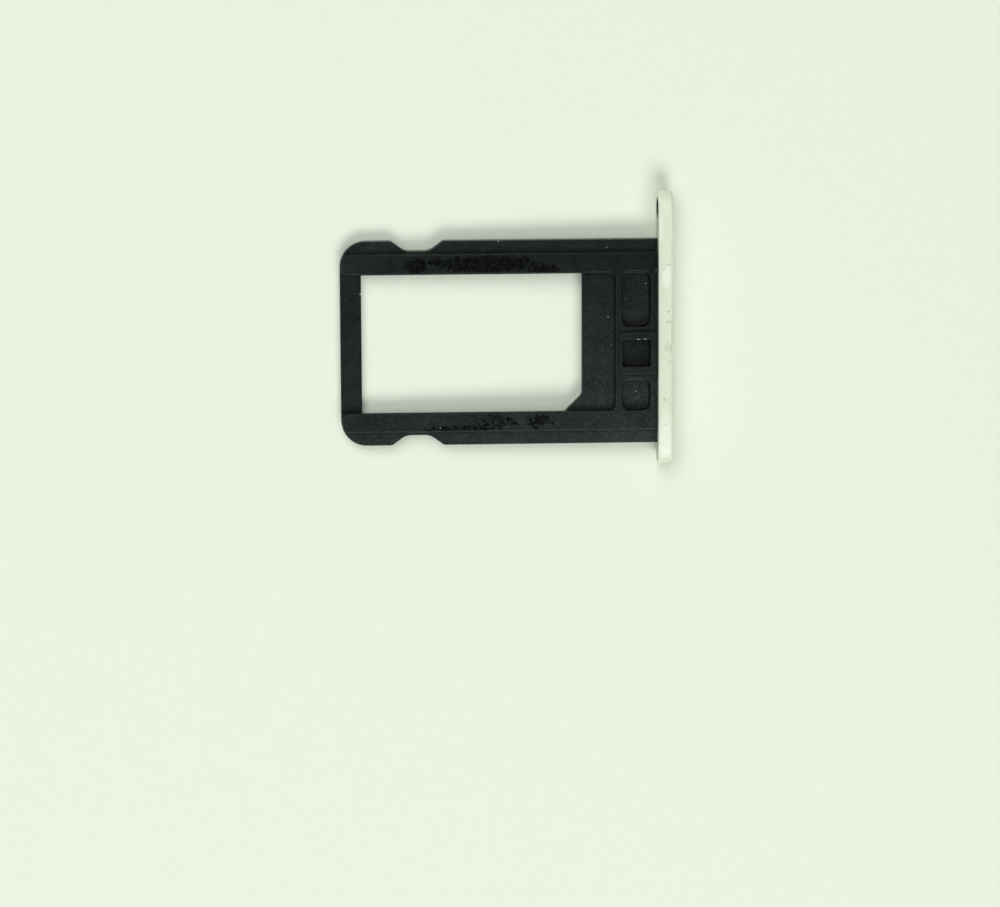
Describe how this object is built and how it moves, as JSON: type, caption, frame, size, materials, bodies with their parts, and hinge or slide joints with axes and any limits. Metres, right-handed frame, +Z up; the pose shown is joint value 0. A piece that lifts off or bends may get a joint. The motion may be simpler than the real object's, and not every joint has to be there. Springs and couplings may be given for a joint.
{
  "type": "sim card tray",
  "caption": "Flat black moulded tray for a small phone card, with guide rails, a card-shaped window, edge notches and a white pill-shaped face plate with an eject-pin hole.",
  "frame": {"origin": "under the middle of the part's box, level with the face plate's lower edge", "axes": "+X from the tray's far end to the face plate, the way the tray leaves its slot; +Y along the plate towards the eject-pin hole; +Z up, on the side of the guide rails"},
  "size_m": [0.0186, 0.0154, 0.0021],
  "materials": {
    "tray": "fine-grained black moulded plastic, rubbed smooth in places on the rails",
    "plate": "polished white plastic with slight stains"
  },
  "bodies": {
    "root": {"tray_frame": "tray", "face_plate": "plate"}
  },
  "joints": []
}
